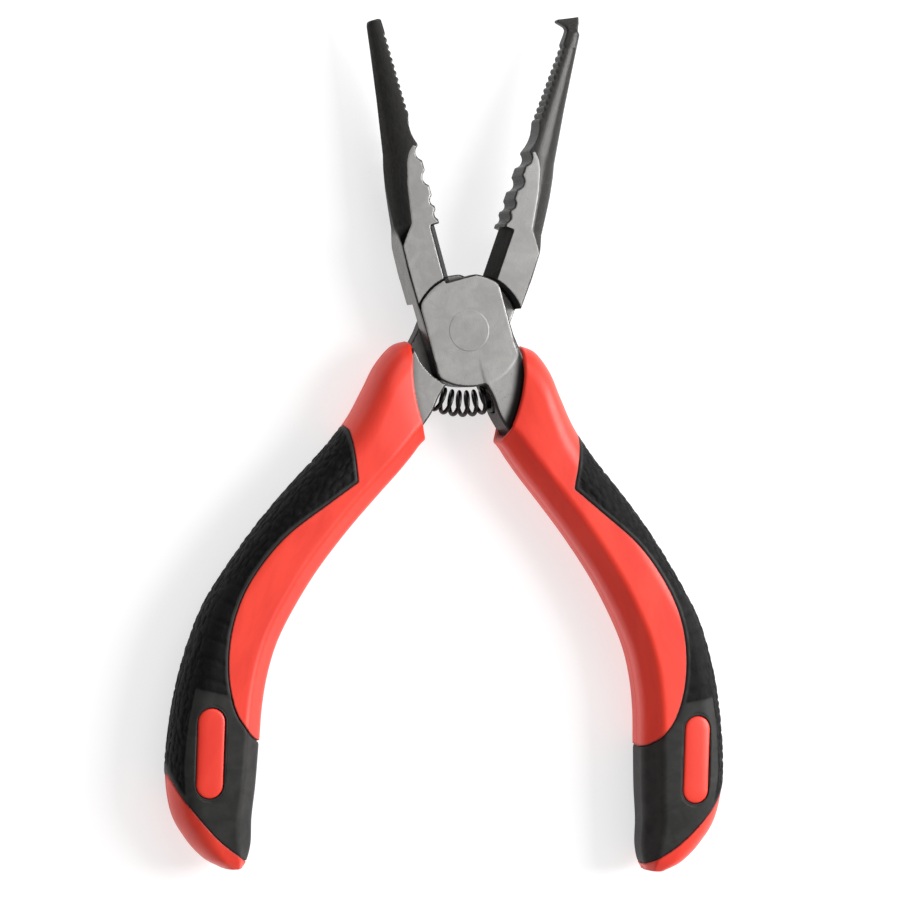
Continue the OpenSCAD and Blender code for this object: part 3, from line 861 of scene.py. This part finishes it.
def inlay(grip, name, side, up, body, material):
    """An oval inlay with a rolled edge, lying in its pocket on the upper (up 1) or lower face."""
    profile = [(-0.04, -1.0), (-0.04, -0.42), (-0.07, -0.3), (-0.15, -0.2), (-0.27, -0.13), (-0.45, -0.09),
               (-0.8, -0.06), (-1.3, -0.04), (-1.8, -0.03), (-2.3, -0.03)]
    outlines = [inlay_outline(g) for g, _ in profile]
    heights = [skin_height(grip, o) + h for o, (_, h) in zip(outlines, profile)]
    points, faces = ring_stack(outlines, heights)
    n = len(outlines[0])
    faces.append([(len(outlines) - 1) * n + k for k in range(n)])
    faces.append(list(range(n))[::-1])
    points = points * [1, 1, up]
    ob = make_mesh(name, in_place(points, side), faces if up > 0 else [f[::-1] for f in faces], material)
    recess_shade_and_grime = np.clip(1.0 - np.repeat(np.arange(len(outlines)), n) / 3.0, 0, 1)
    store(ob, "recess_shade_and_grime", recess_shade_and_grime)
    store(ob, "local", points + [20, 0, 60 * (side > 0)])
    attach(ob, body)
    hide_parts(name)


# ---- materials ----

class Shader:
    """A small helper that builds a node tree from plain calls."""

    def __init__(self, name):
        self.material = bpy.data.materials.new(name)
        self.material.use_nodes = True
        self.tree = self.material.node_tree
        self.main = self.tree.nodes["Principled BSDF"]

    def node(self, kind, inputs=(), **settings):
        n = self.tree.nodes.new(kind)
        for key, value in settings.items():
            setattr(n, key, value)
        for key, value in dict(inputs).items():
            self.put(n.inputs[key], value)
        return n

    def put(self, socket, value):
        if isinstance(value, bpy.types.NodeSocket):
            self.tree.links.new(value, socket)
        else:
            socket.default_value = value

    def attribute(self, name, vector=False):
        n = self.node("ShaderNodeAttribute", attribute_name=name)
        return n.outputs["Vector" if vector else "Fac"]

    def maths(self, operation, a, b=0.0, clamp=False):
        n = self.node("ShaderNodeMath", {0: a, 1: b}, operation=operation, use_clamp=clamp)
        return n.outputs[0]

    def scaled(self, vector, scale):
        n = self.node("ShaderNodeVectorMath", {0: vector, 1: scale}, operation="MULTIPLY")
        return n.outputs[0]

    def noise(self, vector, scale, detail=3.0, rough=0.55, distort=0.0):
        n = self.node("ShaderNodeTexNoise", {"Vector": vector, "Scale": scale, "Detail": detail,
                                             "Roughness": rough, "Distortion": distort})
        return n.outputs["Fac"]

    def spread(self, value, low, high, to_low=0.0, to_high=1.0, kind="SMOOTHSTEP"):
        n = self.node("ShaderNodeMapRange", {"Value": value, "From Min": low, "From Max": high,
                                             "To Min": to_low, "To Max": to_high}, interpolation_type=kind)
        return n.outputs[0]

    def mix(self, factor, a, b):
        n = self.node("ShaderNodeMix", data_type="RGBA", blend_type="MIX")
        self.put(n.inputs[0], factor)
        self.put(n.inputs[6], a)
        self.put(n.inputs[7], b)
        return n.outputs[2]

    def bump(self, height, strength, distance, normal=None):
        inputs = {"Height": height, "Strength": strength, "Distance": distance}
        if normal is not None:
            inputs["Normal"] = normal
        return self.node("ShaderNodeBump", inputs).outputs["Normal"]

    def finish(self, **inputs):
        for key, value in inputs.items():
            self.put(self.main.inputs[key.replace("_", " ")], value)
        return self.material


def grey(v, warm=0.0):
    return (v * (1 + warm), v, v * (1 - warm), 1.0)


def steel_material(bright):
    """Surface-ground steel on the flats and black oxide elsewhere, by the "ground" attribute."""
    s = Shader("ground_steel")
    local = s.attribute("local", True)
    wobble = s.noise(local, 1.3, 2.0)
    edge = s.maths("ADD", s.attribute("ground"), s.maths("MULTIPLY", s.maths("SUBTRACT", wobble, 0.5), 0.12))
    ground = s.spread(edge, -0.03, 0.05)
    side = s.spread(s.attribute("outer"), -0.05, 0.1)
    # fine grinding lines along the tool, blotches and small pits
    lines = s.noise(s.scaled(local, (9.0, 0.55, 4.0)), 1.0, 5.0, 0.7)
    fine = s.noise(s.scaled(local, (26.0, 1.4, 12.0)), 1.0, 3.0, 0.6)
    blotch = s.noise(local, 0.22, 5.0, 0.65, 0.6)
    speck = s.noise(local, 2.6, 4.0, 0.75)
    pits = s.maths("MULTIPLY", s.spread(speck, 0.6, 0.68), s.spread(s.noise(local, 0.3, 2.0), 0.48, 0.62))
    tone = s.mix(s.spread(blotch, 0.3, 0.72), grey(bright * 0.8, 0.02), grey(bright, 0.025))
    tone = s.mix(s.spread(lines, 0.25, 0.75, 0.0, 0.35), tone, grey(bright * 0.62, 0.03))
    tone = s.mix(s.maths("MULTIPLY", pits, 0.6), tone, grey(0.08, 0.03))
    # painted shadow: the ground steel by the grip's mouth is mixed toward near black
    tone = s.mix(s.spread(s.attribute("painted_mouth_shadow"), 0.1, 0.8, 0.0, 0.93), tone, grey(0.012))
    # black oxide with worn edges
    wear = s.spread(s.maths("ADD", s.attribute("wear"), s.maths("MULTIPLY", speck, 0.35)), 0.62, 0.95)
    oxide = s.mix(s.spread(blotch, 0.35, 0.7), grey(0.002), grey(0.005, 0.04))
    oxide = s.mix(s.maths("MULTIPLY", wear, 0.15), oxide, grey(0.25, 0.02))
    satin = s.mix(s.spread(lines, 0.3, 0.7), grey(0.2, 0.03), grey(0.11, 0.03))
    dark = s.mix(side, oxide, satin)
    colour = s.mix(ground, dark, tone)
    rough_ground = s.spread(lines, 0.2, 0.8, 0.34, 0.5, "LINEAR")
    rough_black = s.spread(blotch, 0.3, 0.7, 0.22, 0.3, "LINEAR")
    rough = s.node("ShaderNodeMix", {0: ground, 2: rough_black, 3: rough_ground}).outputs[0]
    metal = s.maths("MAXIMUM", ground, s.maths("MAXIMUM", s.maths("MULTIPLY", side, 0.9), 0.02))
    height = s.maths("ADD", s.maths("MULTIPLY", lines, 0.6), s.maths("MULTIPLY", fine, 0.4))
    height = s.maths("SUBTRACT", height, s.maths("MULTIPLY", pits, 0.8))
    normal = s.bump(height, 0.35, 0.00004)
    shine = s.spread(s.attribute("steep"), 0.0, 1.0, 0.14, 0.01, "LINEAR")
    return s.finish(Base_Color=colour, Metallic=metal, Roughness=rough, Normal=normal,
                    Specular_IOR_Level=shine)


def spring_material():
    s = Shader("spring_wire")
    local = s.attribute("local", True)
    blotch = s.noise(local, 1.1, 4.0, 0.6)
    drawn = s.noise(local, 9.0, 3.0, 0.6)
    colour = s.mix(s.spread(blotch, 0.35, 0.7), grey(0.012), grey(0.04, 0.05))
    rough = s.spread(drawn, 0.2, 0.8, 0.28, 0.45, "LINEAR")
    return s.finish(Base_Color=colour, Metallic=0.7, Roughness=rough, Normal=s.bump(drawn, 0.25, 0.00002))


def red_material():
    """Hard glossy plastic with faint flow marks, dirt in the seams and a painted shadow in the recess at the
    grip's mouth.
    """
    s = Shader("hard_red")
    local = s.attribute("local", True)
    flow = s.noise(s.scaled(local, (0.16, 0.05, 0.16)), 1.0, 4.0, 0.55, 0.8)
    peel = s.noise(local, 1.6, 3.0, 0.5)
    scuff = s.noise(s.scaled(local, (2.2, 0.6, 2.2)), 1.0, 6.0, 0.75)
    colour = s.mix(s.spread(flow, 0.3, 0.7), (0.82, 0.036, 0.018, 1), (0.92, 0.052, 0.026, 1))
    colour = s.mix(s.maths("MULTIPLY", s.spread(scuff, 0.64, 0.8), 0.25), colour, (0.93, 0.16, 0.11, 1))
    # painted shadow in the mouth's recess and dirt in the seams, both mixed toward near black
    recess_shade_and_grime = s.maths("MULTIPLY", s.attribute("recess_shade_and_grime"), s.spread(peel, 0.2, 0.8, 0.7, 1.0), clamp=True)
    colour = s.mix(s.spread(recess_shade_and_grime, 0.15, 1.0, 0.0, 0.92), colour, (0.035, 0.006, 0.005, 1))
    rough = s.spread(scuff, 0.35, 0.8, 0.36, 0.5, "LINEAR")
    rough = s.maths("ADD", rough, s.maths("MULTIPLY", recess_shade_and_grime, 0.2))
    normal = s.bump(peel, 0.3, 0.00003)
    normal = s.bump(scuff, 0.15, 0.00002, normal)
    return s.finish(Base_Color=colour, Roughness=rough, Normal=normal, Specular_IOR_Level=0.5)


def rubber_material():
    """Soft black skin: matt and pebbled on the textured part, with a painted shadow in the pebbles' hollows,
    smoother and greyer on the plain pad.
    """
    s = Shader("soft_black")
    local = s.attribute("local", True)
    crevice_shade, plain = s.attribute("crevice_shade"), s.attribute("plain")
    grain = s.noise(local, 5.5, 4.0, 0.65)
    patch = s.noise(local, 0.35, 4.0, 0.6, 0.4)
    rubbed = s.mix(s.spread(patch, 0.3, 0.7), grey(0.026, 0.02), grey(0.038, 0.03))
    matt = s.mix(s.spread(patch, 0.3, 0.7), grey(0.003), grey(0.007, 0.02))
    matt = s.mix(s.spread(grain, 0.3, 0.75, 0.0, 0.4), matt, grey(0.015, 0.02))
    colour = s.mix(s.spread(plain, 0.2, 0.9), matt, rubbed)
    # painted shadow: the pebbles' hollows are darkened toward near black
    colour = s.mix(s.spread(crevice_shade, 0.1, 0.9, 0.0, 0.85), colour, grey(0.004))
    dust = s.maths("MULTIPLY", s.spread(s.noise(local, 1.7, 6.0, 0.8), 0.66, 0.8), 0.12)
    colour = s.mix(dust, colour, grey(0.12, 0.06))
    rough_texture = s.spread(grain, 0.2, 0.8, 0.5, 0.7, "LINEAR")
    rough_plain = s.spread(grain, 0.2, 0.8, 0.42, 0.52, "LINEAR")
    rough = s.node("ShaderNodeMix", {0: plain, 2: rough_texture, 3: rough_plain}).outputs[0]
    strength = s.spread(plain, 0.0, 1.0, 0.9, 0.25, "LINEAR")
    normal = s.bump(grain, strength, 0.00008)
    return s.finish(Base_Color=colour, Roughness=rough, Normal=normal, Specular_IOR_Level=0.12)


def floor_material():
    s = Shader("paper_floor")
    place = s.node("ShaderNodeTexCoord").outputs["Object"]
    fibre = s.noise(place, 900.0, 4.0, 0.6)
    cloud = s.noise(place, 6.0, 2.0)
    colour = s.mix(s.spread(cloud, 0.3, 0.7), (0.46, 0.46, 0.46, 1), (0.48, 0.48, 0.48, 1))
    return s.finish(Base_Color=colour, Roughness=0.9, Normal=s.bump(fibre, 0.05, 0.00005),
                    Emission_Color=(1, 1, 1, 1), Emission_Strength=0.66)


# ---- stage, lights and camera ----

def floor():
    half, drop = 3.0, -0.0003
    points = [(-half, -half, drop), (half, -half, drop), (half, half, drop), (-half, half, drop)]
    ob = make_mesh("floor", points, [(0, 1, 2, 3)], floor_material(), smooth=False)


def softbox(name, at_point, target, size, power):
    light = bpy.data.lights.new(name, "AREA")
    light.shape = "RECTANGLE"
    light.size, light.size_y = size
    light.energy = power
    ob = bpy.data.objects.new(name, light)
    bpy.context.scene.collection.objects.link(ob)
    ob.location = at_point
    ob.rotation_euler = (Vector(target) - Vector(at_point)).to_track_quat("-Z", "Y").to_euler()


def lights():
    """A softbox high on the right over a sky that is brighter on that side."""
    centre = (0, 0, 0)
    softbox("key", (0.68, 0.1, 0.5), centre, (0.36, 0.6), 8.5)
    softbox("top", (0.05, 0.6, 0.7), centre, (0.6, 0.25), 1.5)
    world = bpy.data.worlds.new("studio")
    bpy.context.scene.world = world
    world.use_nodes = True
    tree = world.node_tree
    back = tree.nodes["Background"]
    direction = tree.nodes.new("ShaderNodeTexCoord")
    split = tree.nodes.new("ShaderNodeSeparateXYZ")
    ramp = tree.nodes.new("ShaderNodeMapRange")
    tree.links.new(direction.outputs["Generated"], split.inputs[0])
    tree.links.new(split.outputs["X"], ramp.inputs["Value"])
    ramp.interpolation_type = "SMOOTHSTEP"
    for key, value in (("From Min", -0.7), ("From Max", 0.8), ("To Min", 0.2), ("To Max", 0.58)):
        ramp.inputs[key].default_value = value
    tree.links.new(ramp.outputs[0], back.inputs["Strength"])
    back.inputs[0].default_value = (1, 1, 1, 1)


def camera():
    """From 15 degrees to the left of straight above, turned a little clockwise."""
    yaw, roll, far, view_width = math.radians(15), math.radians(-1.95), 700.0, 165.6
    target = PIVOT + [-1.72, -22, 0]
    eye = target + far * np.array([-math.sin(yaw), 0, math.cos(yaw)])
    forward = (target - eye) / far
    right = np.cross(forward, [0, 1, 0])
    right /= np.linalg.norm(right)
    up = np.cross(right, forward)
    c, s = math.cos(roll), math.sin(roll)
    right, up = right * c - up * s, right * s + up * c
    data = bpy.data.cameras.new("camera")
    data.sensor_width = 36
    data.lens = data.sensor_width * far / view_width
    data.clip_start = 0.01
    ob = bpy.data.objects.new("camera", data)
    bpy.context.scene.collection.objects.link(ob)
    matrix = Matrix([list(v) + [0] for v in np.stack([right, up, -forward], 1)] + [[0, 0, 0, 1]])
    matrix.translation = Vector(eye * MM)
    ob.matrix_world = matrix
    bpy.context.scene.camera = ob


# ---- build ----

camera()
lights()
floor()
STEEL = steel_material(0.36)
RED, RUBBER = red_material(), rubber_material()
steel_half("front_half", False, 1, "front_half", STEEL)
steel_half("rear_half", True, -1, "rear_half", STEEL)
pivot_rivet(STEEL)
return_spring(spring_material())
skin = Grip()
for side, prefix, body in ((1, "right", "front_half"), (-1, "left", "rear_half")):
    grip_core(skin, prefix, side, body, RED)
    grip_overmould(skin, prefix, side, body, RUBBER)
    grip_cap(skin, prefix, side, body, RED)
    inlay(skin, prefix + "_inlay_front", side, side, body, RED)
    inlay(skin, prefix + "_inlay_back", side, -side, body, RED)
bpy.context.scene.view_settings.view_transform = "Standard"
